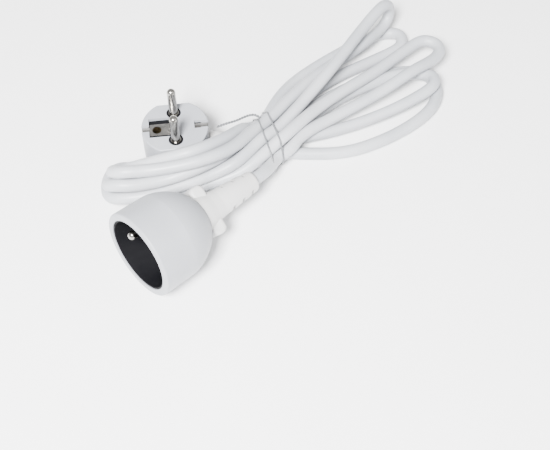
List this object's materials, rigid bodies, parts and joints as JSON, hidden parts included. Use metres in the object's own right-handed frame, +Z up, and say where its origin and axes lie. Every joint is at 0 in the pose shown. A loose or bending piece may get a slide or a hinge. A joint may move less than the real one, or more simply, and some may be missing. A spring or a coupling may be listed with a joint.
{
  "type": "extension cord",
  "caption": "White extension cord with a moulded earthed socket, an angled earthed plug and a round flex folded into a tied hank.",
  "frame": {"origin": "on the surface the cord lies on, under the middle of the socket and its neck", "axes": "+X along the socket from its mouth to its cable end, +Z up, +Y towards the plug"},
  "size_m": [0.2372, 0.0979, 0.0498],
  "materials": {
    "white_shell": "moulded PVC, satin, fine grain",
    "white_neck": "soft moulded PVC, satin",
    "black_insert": "black thermoset, slightly glossy",
    "shutter_plastic": "acetal, natural black",
    "spring_steel": "bright spring steel",
    "brass_contact": "bare brass",
    "nickel_pin": "nickel-plated brass, polished",
    "nickel_strip": "nickel-plated brass strip",
    "live_core": "brown core insulation",
    "neutral_core": "blue core insulation",
    "earth_core": "green and yellow core insulation",
    "white_sheath": "PVC sheath, satin",
    "tie_coating": "white coating over a wire"
  },
  "bodies": {
    "root": {"socket_shell": "white_shell", "socket_neck": "white_neck", "socket_insert": "black_insert", "insert_cover": "black_insert", "shutter_spring": "spring_steel", "socket_live_contact": "brass_contact", "socket_neutral_contact": "brass_contact", "socket_earth_pin": "nickel_pin", "socket_live_core": "live_core", "socket_neutral_core": "neutral_core", "socket_earth_core": "earth_core", "plug_body": "white_shell", "plug_neck": "white_neck", "pin_carrier": "black_insert", "plug_live_pin": "nickel_pin", "plug_neutral_pin": "nickel_pin", "earth_strip": "nickel_strip", "earth_tube": "brass_contact", "plug_live_core": "live_core", "plug_neutral_core": "neutral_core", "plug_earth_core": "earth_core", "socket_lead": "white_sheath", "plug_lead": "white_sheath", "cord_hank": "white_sheath", "wire_tie": "tie_coating"},
    "shutter": {"shutter": "shutter_plastic"}
  },
  "joints": [
    {"name": "shutter_slide", "type": "slide", "parent": "root", "child": "shutter", "axis": [-0.0522, -0.8387, -0.5421], "range_m": [0, 0.0065], "stiffness_N_per_m": 300, "springref_m": -0.003, "deforming": ["shutter_spring"]}
  ]
}
